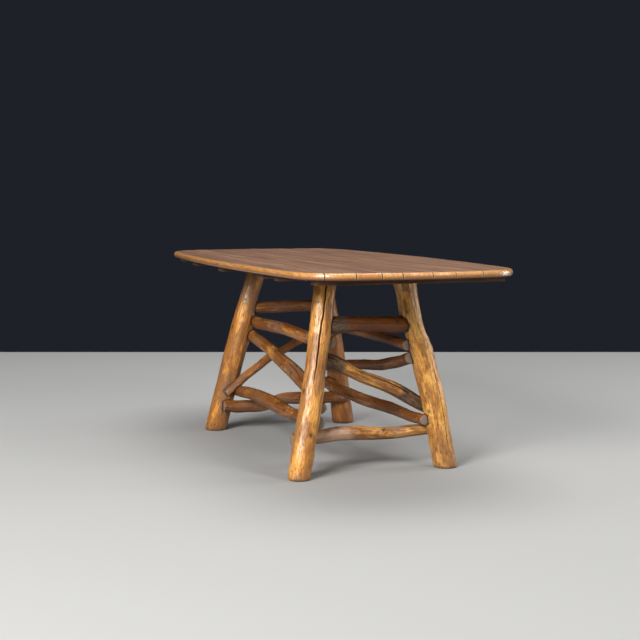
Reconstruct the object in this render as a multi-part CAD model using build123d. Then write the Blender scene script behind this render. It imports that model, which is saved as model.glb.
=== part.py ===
from build123d import *
import os

# Rustic hickory table. A bowed top of random-width boards is screwed to six battens. Two of the
# battens are mortised over the tenons of four splayed, peeled pole legs, and every pair of
# neighbouring legs is tied by an upper rail, a diagonal brace and a lower rail, each one crooked
# branch.
# Millimetres, +Z up. The origin is on the floor under the middle of the top. +X runs along the
# boards to the right end, and -Y is the front long side.

# ---------------------------------------------------------------- driving dimensions
# Top
TABLE_HEIGHT = 750
TOP_LENGTH = 1960
BOARD_WIDTHS = (111, 96, 84, 70, 106, 85, 105, 112, 111)  # front board first
BOARD_THICKNESS = 25
BOARD_GAP = 2
BOARD_ARRIS = 1.2
SIDE_BOW = 60  # the long edges draw in this far from the middle to the ends
END_BOW = 75  # and the ends this far from the middle to the sides
CORNER_RADIUS = 175
EDGE_PROFILE = (  # share of the thickness, inset: a bevel below, and a planed round above
    (0, 6), (0.24, 0), (0.56, 0), (0.78, 1.5), (0.94, 5.5), (1, 11),
)

# Battens under the boards
BATTEN_THICKNESS = 19
BATTEN_ARRIS = 2
BATTEN_INSET = 28  # from the edge of the top to a batten's nearest corner
LEG_BATTEN_WIDTH = 76
LEFT_LEG_BATTEN_X = -0.237 * TOP_LENGTH
RIGHT_LEG_BATTEN_X = 0.228 * TOP_LENGTH
BATTENS = (  # middle along X, width
    (-0.403 * TOP_LENGTH, 88),
    (LEFT_LEG_BATTEN_X, LEG_BATTEN_WIDTH),
    (-0.003 * TOP_LENGTH, 72),
    (RIGHT_LEG_BATTEN_X, LEG_BATTEN_WIDTH),
    (0.306 * TOP_LENGTH, 46),
    (0.434 * TOP_LENGTH, 66),
)

# Legs: the middle of the foot and of the top, and the crooks of the pole between them.
# Each station is a share of the leg's height, a sway towards the back, and a radius.
LEGS = dict(
    front_left=dict(
        foot=(LEFT_LEG_BATTEN_X - 35, -302),
        top=(LEFT_LEG_BATTEN_X, -115),
        stations=(
            (0, 0, 44.5), (0.12, -1, 44), (0.30, -2, 45), (0.42, -4, 45.5), (0.55, -3, 45.5),
            (0.66, -4, 44), (0.75, -7, 39), (0.86, -4, 37), (1, 0, 38),
        ),
    ),
    front_right=dict(
        foot=(RIGHT_LEG_BATTEN_X + 114, -291),
        top=(RIGHT_LEG_BATTEN_X, -149),
        stations=(
            (0, 0, 41.5), (0.10, 0, 41.5), (0.24, 3, 39.5), (0.34, 7, 41), (0.52, 7, 37),
            (0.64, 6, 38), (0.78, 5, 40.5), (0.90, 2, 39.5), (1, 0, 39.5),
        ),
    ),
    back_right=dict(
        foot=(RIGHT_LEG_BATTEN_X + 89, 289),
        top=(RIGHT_LEG_BATTEN_X, 157),
        stations=(
            (0, 0, 43.5), (0.15, 3, 42.5), (0.28, 8, 43), (0.38, 9, 44.5), (0.50, 4, 43),
            (0.61, 3, 43), (0.68, -3, 38.5), (0.77, -9, 38.5), (0.88, -6, 38.5), (1, 0, 39.5),
        ),
    ),
    back_left=dict(
        foot=(LEFT_LEG_BATTEN_X - 15, 276),
        top=(LEFT_LEG_BATTEN_X, 166),
        stations=(
            (0, 0, 46.5), (0.14, 1, 45), (0.30, 3, 44.5), (0.45, 4, 42.5), (0.62, 2, 41.5),
            (0.80, -2, 41), (1, 0, 40),
        ),
    ),
)
FOOT_EDGE = 4

# Branches: the two legs, where the branch meets them as a share of their height, how far past
# each leg's middle it runs on, and the branches that it is scribed over. A lapped branch lies on
# the inner side of both legs, and a tenoned rail runs between them.
# Each station is a share of the run, a rise, a sway to the inside, and a radius.
LAP_OFFSET = 46  # from a leg's middle to a lapped branch's middle, on the long sides
END_LAP_OFFSET = 53  # and at the two ends of the table
BRANCHES = dict(
    front_upper_rail=dict(
        legs=("front_left", "front_right"), heights=(0.654, 0.663), past=(12, 6),
        stations=(
            (0, 0, 0, 23.5), (0.10, -4, 2, 25.5), (0.22, 0, 3, 25), (0.34, 2, 0, 25.5),
            (0.46, 7, -2, 24.5), (0.62, 3, 0, 24), (0.78, -2, 2, 23.5), (1, 0, 0, 21.5),
        ),
    ),
    front_brace=dict(
        legs=("front_left", "front_right"), heights=(0.572, 0.340), past=(12, 4),
        stations=(
            (0, 0, 0, 23), (0.16, 13, 2, 23.5), (0.33, 25, 0, 24), (0.49, 31, -3, 25.5),
            (0.64, 35, 0, 28), (0.77, 33, 2, 27), (0.90, 18, 0, 24), (1, 0, 0, 22.5),
        ),
    ),
    front_lower_rail=dict(
        legs=("front_left", "front_right"), heights=(0.231, 0.269), past=(-10, 6),
        stations=(
            (0, 0, 0, 22), (0.12, 8, 2, 24), (0.25, 14, 0, 25.5), (0.47, 12, -3, 28.5),
            (0.60, 3, -2, 27), (0.70, -4, 2, 23.5), (0.80, 0, 0, 23), (1, 0, 0, 22.5),
        ),
    ),
    back_upper_rail=dict(
        legs=("back_left", "back_right"), heights=(0.640, 0.638), past=(12, 2),
        stations=(
            (0, 0, 0, 23), (0.22, 3, 2, 22.5), (0.40, 6, 0, 24.5), (0.66, 7, -3, 23),
            (0.82, 5, 0, 20.5), (1, 0, 0, 20.5),
        ),
    ),
    back_brace=dict(
        legs=("back_left", "back_right"), heights=(0.365, 0.571), past=(12, 2),
        stations=(
            (0, 0, 0, 21), (0.18, -2, 2, 21), (0.32, -5, 0, 19.5), (0.42, -8, -2, 19.5),
            (0.53, -12, -2, 20.5), (0.64, -16, 0, 20.5), (0.76, -15, 2, 22), (0.88, -10, 0, 22),
            (1, 0, 0, 22),
        ),
    ),
    back_lower_rail=dict(
        legs=("back_left", "back_right"), heights=(0.252, 0.249), past=(24, 12),
        stations=(
            (0, 0, 0, 26), (0.14, -9, 2, 25.5), (0.25, -7, 2, 23.5), (0.41, -12, 0, 24.5),
            (0.57, -8, -2, 24), (0.72, -3, 0, 23), (0.87, -5, 0, 21), (1, 0, 0, 19.5),
        ),
    ),
    right_upper_rail=dict(
        legs=("front_right", "back_right"), heights=(0.758, 0.744), tenoned=True,
        stations=(
            (0, 0, 0, 26), (0.16, 0, 2, 31.5), (0.34, 2, 0, 26.5), (0.59, 3, -2, 27),
            (0.82, 0, 0, 30.5), (1, 0, 0, 23),
        ),
    ),
    right_brace=dict(
        legs=("front_right", "back_right"), heights=(0.592, 0.300), past=(0, 10),
        stations=(
            (0, 0, 0, 25), (0.12, 14, 0, 27), (0.19, 16, 0, 26.5), (0.29, 14, 3, 24),
            (0.38, 10, 2, 22), (0.50, 11, 0, 22.5), (0.60, 15, -1, 23.5), (0.71, 15, -2, 25),
            (0.82, 10, 0, 25.5), (0.92, 3, 0, 24), (1, 0, 0, 22),
        ),
    ),
    right_lower_rail=dict(
        legs=("front_right", "back_right"), heights=(0.184, 0.184), past=(30, 12),
        stations=(
            (0, 0, 0, 23), (0.14, 2, 2, 24), (0.28, 9, 0, 26), (0.43, 7, -3, 25.5),
            (0.56, 0, -2, 23), (0.70, -3, 0, 22), (0.86, 0, 2, 21.5), (1, 0, 0, 17.5),
        ),
    ),
    left_upper_rail=dict(
        legs=("front_left", "back_left"), heights=(0.736, 0.736), tenoned=True,
        stations=(
            (0, 0, 0, 24), (0.14, -1, 2, 25), (0.26, 0, 0, 24), (0.44, 1, -2, 25.5),
            (0.68, 2, 0, 24), (1, 0, 0, 23),
        ),
    ),
    left_brace=dict(
        legs=("front_left", "back_left"), heights=(0.237, 0.578), past=(14, 10),
        over=("front_lower_rail",),
        stations=(
            (0, 0, 0, 18), (0.15, 28, 0, 18), (0.27, 40, 2, 17.5), (0.37, 51, 0, 17.5),
            (0.53, 48, -2, 16.5), (0.64, 52, 0, 16), (0.80, 33, 0, 16.5), (1, 0, 0, 17),
        ),
    ),
    left_lower_rail=dict(
        legs=("front_left", "back_left"), heights=(0.149, 0.168), past=(8, 18),
        stations=(
            (0, 0, 0, 22), (0.08, -2, 0, 26), (0.18, -5, 0, 26), (0.31, -9, 2, 23.5),
            (0.38, 0, 0, 23), (0.47, 15, -2, 24), (0.62, 13, 0, 26), (0.85, 7, 0, 25),
            (1, 0, 0, 21),
        ),
    ),
)
LEG_FLATS = 12  # a drawknife peels a pole to long flats, one for each stroke
BRANCH_FLATS = 8
TENON_FLATS = 12
POLE_SPANS = 13  # lengths between the sections that a pole is lofted through
TENON_RADIUS = 15
TENON_REACH = 24  # how far a rail's tenon goes past the middle of its leg
TENON_LENGTH = 85  # from its tip to its root inside the rail
LEG_TENON_SHORT = 1  # a leg's tenon ends this far under the boards

# Fits
SEAT_GAP = 0.3  # a scribed branch stands this far off the wood that it lies on
CLEARANCE = 0.15  # around a tenon in its hole

# ---------------------------------------------------------------- derived values
TOP_WIDTH = sum(BOARD_WIDTHS)
BOARD_UNDERSIDE = TABLE_HEIGHT - BOARD_THICKNESS
LEG_HEIGHT = BOARD_UNDERSIDE - BATTEN_THICKNESS


# ---------------------------------------------------------------- the top
def top_outline():
    """The bowed outline: two long arcs and two end arcs, with large round corners."""
    half_x, half_y = TOP_LENGTH / 2, TOP_WIDTH / 2
    back = ThreePointArc((-half_x, half_y - SIDE_BOW), (0, half_y), (half_x, half_y - SIDE_BOW))
    front = ThreePointArc((half_x, SIDE_BOW - half_y), (0, -half_y), (-half_x, SIDE_BOW - half_y))
    right = ThreePointArc((half_x - END_BOW, half_y), (half_x, 0), (half_x - END_BOW, -half_y))
    left = ThreePointArc((END_BOW - half_x, -half_y), (-half_x, 0), (END_BOW - half_x, half_y))
    between_sides = make_face([back, Line(back @ 1, front @ 0), front, Line(front @ 1, back @ 0)])
    between_ends = make_face([right, Line(right @ 1, left @ 0), left, Line(left @ 1, right @ 0)])
    outline = between_sides & between_ends
    return fillet(outline.vertices(), CORNER_RADIUS)


def board_edges():
    """The front and back edge of each board's place, front board first."""
    edges = []
    front = -TOP_WIDTH / 2
    for width in BOARD_WIDTHS:
        edges.append((front, front + width))
        front += width
    return edges


def make_boards(outline):
    """Cuts the rounded slab into boards with a narrow open joint and eased upper arrises."""
    levels = []
    for share, inset in EDGE_PROFILE:
        level = Plane.XY.offset(BOARD_UNDERSIDE + share * BOARD_THICKNESS)
        levels.append(level * offset(outline, -inset))
    slab = loft(levels, ruled=True)
    boards = []
    for front, back in board_edges():
        width = back - front - BOARD_GAP
        section = Rectangle(width, BOARD_THICKNESS)
        section = chamfer(section.vertices().group_by(Axis.Y)[-1], BOARD_ARRIS)
        end = Plane(
            origin=(-TOP_LENGTH / 2, (front + back) / 2, BOARD_UNDERSIDE + BOARD_THICKNESS / 2),
            x_dir=(0, 1, 0),
            z_dir=(1, 0, 0),
        )
        boards.append(slab & extrude(end * section, TOP_LENGTH))
    return boards


def batten_length(x, width, outline):
    """The length that keeps both of a batten's corners inside the edge of the top."""
    outer_side = abs(x) + width / 2
    across = outline & Line((outer_side, -TOP_WIDTH), (outer_side, TOP_WIDTH))
    return across.edge().length - 2 * BATTEN_INSET


def make_batten(x, width, length):
    """A flat strip across the underside, eased along its lower edges."""
    strip = Pos(x, 0, LEG_HEIGHT) * Box(
        width, length, BATTEN_THICKNESS, align=(Align.CENTER, Align.CENTER, Align.MIN)
    )
    return chamfer(strip.faces().sort_by(Axis.Z)[0].edges(), BATTEN_ARRIS)


# ---------------------------------------------------------------- crooked poles
def peeled_round(radius, flats, stretch=1):
    """The section of a peeled pole: a round of flats, drawn out along X by a stretch."""
    corners = []
    for i in range(flats):
        corner = Vector(radius, 0).rotate(Axis.Z, 360 * i / flats)
        corners.append((corner.X * stretch, corner.Y))
    return make_face(Polyline(*corners, close=True))


def at_share(stations, share):
    """The values of a row of stations at a share of its run, on a smooth curve through them."""
    shares = [station[0] for station in stations]
    share = min(max(share, shares[0]), shares[-1])
    i = max(k for k in range(len(shares) - 1) if shares[k] <= share)
    step = shares[i + 1] - shares[i]
    t = (share - shares[i]) / step
    values = []
    for column in range(1, len(stations[0])):
        here, there = stations[i][column], stations[i + 1][column]
        leave, arrive = slope(stations, i, column) * step, slope(stations, i + 1, column) * step
        values.append(
            here * (1 + 2 * t) * (1 - t) ** 2 + there * t**2 * (3 - 2 * t)
            + leave * t * (1 - t) ** 2 - arrive * t**2 * (1 - t)
        )
    return values


def slope(stations, i, column):
    """How fast a column of values changes at a station, from the stations on either side."""
    before, after = stations[max(i - 1, 0)], stations[min(i + 1, len(stations) - 1)]
    return (after[column] - before[column]) / (after[0] - before[0])


def leg_middle(leg, share):
    """The point on the straight line from a leg's foot to its top at a share of its height."""
    foot, top = Vector(*leg["foot"], 0), Vector(*leg["top"], LEG_HEIGHT)
    return foot + (top - foot) * share


def make_leg(leg, grow=0):
    """A leaning pole, lofted through level sections so that its foot and top are sawn level."""
    lean = leg_middle(leg, 1) - leg_middle(leg, 0)
    stretch = lean.length / LEG_HEIGHT  # a level cut through a leaning pole is oval
    sections = []
    for i in range(POLE_SPANS + 1):
        sway, radius = at_share(leg["stations"], i / POLE_SPANS)
        middle = leg_middle(leg, i / POLE_SPANS) + Vector(0, sway, 0)
        level = Plane(origin=middle, x_dir=(lean.X, lean.Y, 0), z_dir=(0, 0, 1))
        sections.append(level * peeled_round(radius + grow, LEG_FLATS, stretch))
    return loft(sections)


def branch_line(branch):
    """The straight line that a branch wanders about: its two ends and the way to the inside."""
    first, second = (LEGS[name] for name in branch["legs"])
    start = leg_middle(first, branch["heights"][0])
    end = leg_middle(second, branch["heights"][1])
    if abs((end - start).X) > abs((end - start).Y):
        inward, offset = Vector(0, -1 if start.Y > 0 else 1, 0), LAP_OFFSET
    else:
        inward, offset = Vector(-1 if start.X > 0 else 1, 0, 0), END_LAP_OFFSET
    if branch.get("tenoned"):
        offset = 0
    return start + inward * offset, end + inward * offset, inward


def branch_middle(branch, share):
    """The middle of a branch at a share of its run, and its radius there."""
    start, end, inward = branch_line(branch)
    rise, sway, radius = at_share(branch["stations"], share)
    return start + (end - start) * share + Vector(0, 0, rise) + inward * sway, radius


def make_branch(branch, grow=0):
    """A crooked branch, lofted through sections square to its own line."""
    start, end, inward = branch_line(branch)
    run = (end - start).length
    past_start, past_end = branch.get("past", (0, 0))
    length = past_start + run + past_end
    points = []
    for i in range(POLE_SPANS + 1):
        points.append(branch_middle(branch, (length * i / POLE_SPANS - past_start) / run))
    sections = []
    for i, (middle, radius) in enumerate(points):
        before, after = points[max(i - 1, 0)][0], points[min(i + 1, POLE_SPANS)][0]
        square = Plane(origin=middle, x_dir=inward, z_dir=after - before)
        sections.append(square * peeled_round(radius + grow, BRANCH_FLATS))
    return loft(sections)


def make_tenons(branch, grow=0):
    """Whittled tenons on the ends of a rail, each reaching past the middle of its leg."""
    start, end, _ = branch_line(branch)
    along = (end - start).normalized()
    tenons = []
    for middle, way in ((start, along), (end, along * -1)):
        tip = Plane(origin=middle - way * (TENON_REACH + grow), x_dir=(0, 0, 1), z_dir=way)
        section = peeled_round(TENON_RADIUS + grow, TENON_FLATS)
        tenons.append(tip * extrude(section, TENON_LENGTH + grow))
    return tenons


def make_leg_tenon(leg, height, grow=0):
    """The whittled tenon that stands on a leg's top, or the hole for it."""
    shoulder = Plane(origin=(*leg["top"], LEG_HEIGHT - grow))
    return shoulder * extrude(peeled_round(TENON_RADIUS + grow, TENON_FLATS), height + grow)


# ---------------------------------------------------------------- put together
def near(tools, solid):
    """The tools whose boxes reach the solid's."""
    reach = solid.bounding_box()
    found = []
    for tool in tools:
        box = tool.bounding_box()
        if all(
            low < top and bottom < high
            for low, high, bottom, top in zip(box.min, box.max, reach.min, reach.max)
        ):
            found.append(tool)
    return found


def cut(solid, tools):
    """Takes the tools that reach a solid out of it."""
    for tool in near(tools, solid):
        solid = solid - tool
    return solid


def make_top(pieces):
    """The boards, and the battens with the holes for the leg tenons."""
    outline = top_outline()
    for i, board in enumerate(make_boards(outline), 1):
        pieces[f"board_{i}"] = board
    holes = [make_leg_tenon(leg, BATTEN_THICKNESS + CLEARANCE, CLEARANCE) for leg in LEGS.values()]
    for i, (x, width) in enumerate(BATTENS, 1):
        batten = make_batten(x, width, batten_length(x, width, outline))
        pieces[f"batten_{i}"] = cut(batten, holes)


def make_legs(pieces):
    """The four poles, each with the tenon on its top and the sockets of the rails."""
    holes = []
    for branch in BRANCHES.values():
        if branch.get("tenoned"):
            holes += make_tenons(branch, CLEARANCE)
    for name, leg in LEGS.items():
        pole = make_leg(leg)
        pole = chamfer(pole.faces().sort_by(Axis.Z)[0].edges(), FOOT_EDGE)
        pole = pole + make_leg_tenon(leg, BATTEN_THICKNESS - LEG_TENON_SHORT)
        pieces[f"leg_{name}"] = cut(pole, holes)


def make_branches(pieces):
    """The twelve branches, each scribed to the legs and to any branch that it lies over."""
    for name, branch in BRANCHES.items():
        under = [make_leg(LEGS[leg], SEAT_GAP) for leg in branch["legs"]]
        under += [make_branch(BRANCHES[other], SEAT_GAP) for other in branch.get("over", ())]
        pole = make_branch(branch)
        for solid in under:
            pole = (pole - solid).solids().sort_by(SortBy.VOLUME)[-1]
        if branch.get("tenoned"):
            for tenon in make_tenons(branch):
                pole = pole + tenon
        pieces[name] = pole


if __name__ == "__main__":
    table = {}
    make_top(table)
    make_legs(table)
    make_branches(table)
    os.makedirs("parts", exist_ok=True)
    for name, piece in table.items():
        export_step(piece, f"parts/{name}.step")
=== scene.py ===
import math
import random

import bmesh
import bpy
import numpy as np
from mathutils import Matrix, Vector, noise
from mathutils.bvhtree import BVHTree


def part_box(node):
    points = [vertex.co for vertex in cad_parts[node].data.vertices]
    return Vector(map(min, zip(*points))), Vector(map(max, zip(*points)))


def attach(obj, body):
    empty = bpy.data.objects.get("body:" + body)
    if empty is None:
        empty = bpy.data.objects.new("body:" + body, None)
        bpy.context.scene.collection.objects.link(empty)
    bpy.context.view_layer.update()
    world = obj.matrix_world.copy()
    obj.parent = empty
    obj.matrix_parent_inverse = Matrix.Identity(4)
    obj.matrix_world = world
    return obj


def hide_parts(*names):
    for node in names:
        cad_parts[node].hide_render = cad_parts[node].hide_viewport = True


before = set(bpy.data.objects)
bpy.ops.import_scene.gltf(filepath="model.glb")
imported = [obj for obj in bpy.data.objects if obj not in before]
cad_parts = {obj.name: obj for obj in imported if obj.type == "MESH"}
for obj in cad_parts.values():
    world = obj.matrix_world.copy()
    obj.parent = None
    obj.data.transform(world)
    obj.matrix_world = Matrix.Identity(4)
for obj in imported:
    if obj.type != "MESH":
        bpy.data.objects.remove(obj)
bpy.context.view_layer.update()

# ---------------------------------------------------------------- the studio
# A square of pale floor under the table, plain dark blue all round it, and a low camera off the
# right end. The key is a large soft lamp high in front of that end. Weaker ones hang overhead,
# low behind the table and off its right end.
EYE = Vector((4.824, -1.769, 1.0))
LOOK = Vector((-0.935, 0.3413, -0.0959))
LENS = 73.2
SENSOR_WIDTH = 36
FLOOR_REACH = 3.11  # from the middle of the table to the edge of the floor
FLOOR_DROP = 0.0004  # keeps the floor off the soles
FLOOR_ROUGHNESS = 0.9
FLOOR_COLOUR = (0.342, 0.347, 0.350, 1)
WALL_COLOUR = (0.0135, 0.0150, 0.0212, 1)
ROOM_COLOUR = (1, 0.96, 0.91, 1)
ROOM_LIGHT = 0.18
SOFT_LAMPS = (  # name, place, what it points at, size, power, colour
    ("key", (3.9, -4.9, 3.3), (0.25, -0.1, 0.3), 2.6, 650, (1, 0.975, 0.94)),
    ("overhead", (-0.8, 0.6, 6.4), (-0.4, 0, 0.3), 4.5, 305, (1, 0.99, 0.97)),
    ("back side", (0.9, 5.2, 1.5), (0.3, 0, 0.4), 2.0, 110, (1, 0.98, 0.96)),
    ("right end", (4.0, 2.1, 3.3), (0.45, 0, 0.3), 1.1, 75, (1, 0.97, 0.92)),
)

camera = bpy.data.objects.new("camera", bpy.data.cameras.new("camera"))
camera.data.lens = LENS
camera.data.sensor_width = SENSOR_WIDTH
camera.location = EYE
camera.rotation_euler = LOOK.to_track_quat("-Z", "Y").to_euler()
bpy.context.collection.objects.link(camera)
bpy.context.scene.camera = camera
bpy.context.scene.view_settings.view_transform = "Standard"

for name, place, target, size, power, colour in SOFT_LAMPS:
    lamp = bpy.data.lights.new(name, "AREA")
    lamp.size = size
    lamp.energy = power
    lamp.color = colour
    holder = bpy.data.objects.new(name, lamp)
    holder.location = place
    holder.rotation_euler = (Vector(target) - Vector(place)).to_track_quat("-Z", "Y").to_euler()
    bpy.context.collection.objects.link(holder)


def add_node(tree, kind, inputs=None, **settings):
    """A new node with its settings and the values or links of its inputs."""
    made = tree.nodes.new(kind)
    for key, value in settings.items():
        setattr(made, key, value)
    for key, value in (inputs or {}).items():
        if isinstance(value, bpy.types.NodeSocket):
            tree.links.new(value, made.inputs[key])
        else:
            made.inputs[key].default_value = value
    return made


def maths(tree, operation, first, second=0.0, clamp=False):
    """One sum, and the socket of its result."""
    made = add_node(tree, "ShaderNodeMath", {0: first, 1: second}, operation=operation)
    made.use_clamp = clamp
    return made.outputs[0]


def empty_material(name):
    """A material with only its output, and that output."""
    material = bpy.data.materials.new(name)
    material.use_nodes = True
    material.node_tree.nodes.clear()
    return material, material.node_tree.nodes.new("ShaderNodeOutputMaterial")


def lay_floor():
    """The floor is open from below, so that the underside of the table can be seen."""
    material, output = empty_material("studio_floor")
    tree = material.node_tree
    matt = add_node(
        tree,
        "ShaderNodeBsdfPrincipled",
        {"Base Color": FLOOR_COLOUR, "Roughness": FLOOR_ROUGHNESS},
    )
    nothing = add_node(tree, "ShaderNodeBsdfTransparent")
    side = add_node(tree, "ShaderNodeNewGeometry")
    either = add_node(
        tree,
        "ShaderNodeMixShader",
        {0: side.outputs["Backfacing"], 1: matt.outputs[0], 2: nothing.outputs[0]},
    )
    tree.links.new(either.outputs[0], output.inputs["Surface"])
    ahead = Vector((LOOK.x, LOOK.y, 0)).normalized() * FLOOR_REACH
    aside = Vector((ahead.y, -ahead.x, 0))
    near, far = -ahead, ahead
    corners = [near - aside, near + aside, far + aside, far - aside]
    for corner in corners:
        corner.z = -FLOOR_DROP
    mesh = bpy.data.meshes.new("floor")
    mesh.from_pydata(corners, [], [(0, 1, 2, 3)])
    mesh.materials.append(material)
    floor = bpy.data.objects.new("floor", mesh)
    bpy.context.collection.objects.link(floor)


def light_surround():
    """Dark blue where the camera or a gloss sees it, and a soft even light on everything else."""
    world = bpy.data.worlds.new("surround")
    world.use_nodes = True
    tree = world.node_tree
    tree.nodes.clear()
    ray = add_node(tree, "ShaderNodeLightPath").outputs
    seen = add_node(tree, "ShaderNodeBackground", {"Color": WALL_COLOUR, "Strength": 1})
    light = add_node(tree, "ShaderNodeBackground", {"Color": ROOM_COLOUR, "Strength": ROOM_LIGHT})
    straight = maths(tree, "MAXIMUM", ray["Is Camera Ray"], ray["Is Glossy Ray"])
    straight = maths(tree, "MAXIMUM", straight, ray["Is Transmission Ray"])
    either = add_node(
        tree, "ShaderNodeMixShader", {0: straight, 1: light.outputs[0], 2: seen.outputs[0]}
    )
    output = add_node(tree, "ShaderNodeOutputWorld")
    tree.links.new(either.outputs[0], output.inputs["Surface"])
    bpy.context.scene.world = world


lay_floor()
light_surround()


# ---------------------------------------------------------------- the boards of the top
# Nine flat-sawn hardwood boards, planed by hand, oiled and varnished. Each one has moved a
# little since it was screwed down, so no two lie quite flush.
BOARD_COUNT = 9
BOARD_STEP_ALONG, BOARD_STEP_ACROSS = 0.022, 0.012  # the net that its flat faces are cut in
BOARD_DROP = 0.0008  # the lowest board under the highest one
BOARD_CUP = 0.0005
BOARD_WAVE = 0.0004
BOARD_WAVES_ALONG, BOARD_WAVES_ACROSS = 9, 30  # to a metre
BOARD_PLANED = 0.0125  # how deep the planed upper edge goes
BOARD_END_PLAY = 0.0012  # how unevenly the ends are cut
BOARD_END = 0.03  # the share of half a board that the play at its end fades over
BOARD_SWELL = 0.0006  # takes up part of the joint on each side of a board
BOARD_ARRIS = 0.0012  # how far from a joint the swell reaches
GRAIN_ASIDE, GRAIN_AHEAD = (-0.05, 0.05), (2, 40)  # where in its log a board was cut
WELD = 1e-5
SHARP_ANGLE = math.radians(35)
BOARD_PALE = (0.38, 0.21, 0.125, 1)
BOARD_WARM = (0.19, 0.088, 0.054, 1)
BOARD_DARK = (0.07, 0.030, 0.018, 1)
BOARD_STREAK_AND_HIGHLIGHT = (0.62, 0.42, 0.25, 1)
BOARD_RAW = (0.085, 0.046, 0.026, 1)
BOARD_RIM_PALE = (0.60, 0.32, 0.105, 1)
BOARD_RIM_WARM = (0.43, 0.17, 0.042, 1)
BOARD_RIM_SHADE = (0.20, 0.065, 0.016, 1)
# Where, going down from the top, the rim, the painted shade on its lower edge and the raw
# underside begin, and where each of them is whole.
BOARD_RIM_DEPTH = (0.0001, 0.0014)
BOARD_RIM_SHADE_DEPTH = (0.007, 0.020)
BOARD_UNDER_DEPTH = (0.0205, 0.0247)
# The same for what lies by a joint: the dirt in it, and both edges of the painted highlight along
# the arris beside it.
BOARD_DIRT_REACH = (0.0019, 0.0009)
BOARD_EDGE_HIGHLIGHT_FROM, BOARD_EDGE_HIGHLIGHT_TO = (0.0010, 0.0018), (0.0048, 0.0028)
BOARD_RINGS = 1500  # radians of ring to a metre of depth in the log
BOARD_RING_SLANT = 0.35  # depth for each metre across the board
BOARD_RING_WANDER = 0.055
BOARD_COAT, BOARD_RIM_COAT, BOARD_COAT_ROUGHNESS = 0.25, 0.45, 0.2
BOARD_RELIEF = 0.0003


def joined(node):
    """A node's own surface, with its loose triangles joined."""
    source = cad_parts[node].data
    built = bmesh.new()
    corners = [built.verts.new(vertex.co) for vertex in source.vertices]
    for face in source.polygons:
        built.faces.new([corners[i] for i in face.vertices])
    bmesh.ops.remove_doubles(built, verts=built.verts, dist=WELD)
    return built


def sliced(built, step, axis):
    """Cuts a solid by level planes, so that its flat faces can take a wave."""
    places = [vertex.co[axis] for vertex in built.verts]
    low, high = min(places), max(places)
    count = max(2, round((high - low) / step))
    normal = [0, 0, 0]
    normal[axis] = 1
    for i in range(1, count):
        point = [0, 0, 0]
        point[axis] = low + (high - low) * i / count
        everything = built.verts[:] + built.edges[:] + built.faces[:]
        bmesh.ops.bisect_plane(built, geom=everything, plane_co=point, plane_no=normal, dist=WELD)


def new_piece(name, mesh, material, slot, *nodes):
    """Puts a finished mesh in the scene, on the table's one body, in place of its nodes."""
    mesh.materials.clear()
    mesh.materials.append(material)
    piece = bpy.data.objects.new(name, mesh)
    bpy.context.collection.objects.link(piece)
    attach(piece, "root")
    if nodes:
        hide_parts(*nodes)
    return piece


def give_values(mesh, **columns):
    """Keeps values of the wood on the points of its mesh, for the material to read."""
    for name, values in columns.items():
        values = np.asarray(values, np.float32)
        if values.ndim == 2:
            column = mesh.attributes.new(name, "FLOAT_VECTOR", "POINT")
            column.data.foreach_set("vector", values.ravel())
        else:
            column = mesh.attributes.new(name, "FLOAT", "POINT")
            column.data.foreach_set("value", values)


def read_value(tree, name):
    """The node that reads such a value."""
    return add_node(tree, "ShaderNodeAttribute", attribute_name=name)


def weighted(tree, value, weight, added=0.0):
    """A value times a weight, and something added to it, kept between 0 and 1."""
    made = add_node(
        tree, "ShaderNodeMath", {0: value, 1: weight, 2: added}, operation="MULTIPLY_ADD"
    )
    made.use_clamp = True
    return made.outputs[0]


def stretched_noise(tree, grain, scale, detail=2.0, roughness=0.5):
    """Noise drawn out along the grain. The scale is in ripples a metre, each way."""
    drawn_out = add_node(tree, "ShaderNodeVectorMath", {0: grain, 1: scale}, operation="MULTIPLY")
    made = add_node(
        tree,
        "ShaderNodeTexNoise",
        {"Vector": drawn_out.outputs[0], "Scale": 1.0, "Detail": detail, "Roughness": roughness},
    )
    return made.outputs[0]


def ramp(tree, value, low, high, start=0.0, end=1.0):
    """A value's share of the way from low to high, eased at both ends."""
    made = add_node(
        tree,
        "ShaderNodeMapRange",
        {"Value": value, "From Min": low, "From Max": high, "To Min": start, "To Max": end},
        interpolation_type="SMOOTHSTEP",
    )
    return made.outputs[0]


def blend(tree, share, first, second):
    """Two colours mixed by a share."""
    made = add_node(tree, "ShaderNodeMix", data_type="RGBA")
    for place, value in ((0, share), (6, first), (7, second)):
        socket = made.inputs[place]
        if isinstance(value, bpy.types.NodeSocket):
            tree.links.new(value, socket)
        else:
            socket.default_value = value
    return made.outputs[2]


def times(tree, first, second):
    """The product of two values."""
    return maths(tree, "MULTIPLY", first, second)


def strongest(tree, *masks):
    """The strongest of some masks at each point, each of them with its own weight."""
    result = 0.0
    for mask, weight in masks:
        result = maths(tree, "MAXIMUM", result, times(tree, mask, weight))
    return result


def new_group(name, inputs, outputs):
    """An empty shader group with its sockets, and its input and output nodes."""
    group = bpy.data.node_groups.new(name, "ShaderNodeTree")
    for title, kind in inputs.items():
        group.interface.new_socket(title, in_out="INPUT", socket_type="NodeSocket" + kind)
    for title, kind in outputs.items():
        group.interface.new_socket(title, in_out="OUTPUT", socket_type="NodeSocket" + kind)
    return group, group.nodes.new("NodeGroupInput"), group.nodes.new("NodeGroupOutput")


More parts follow.
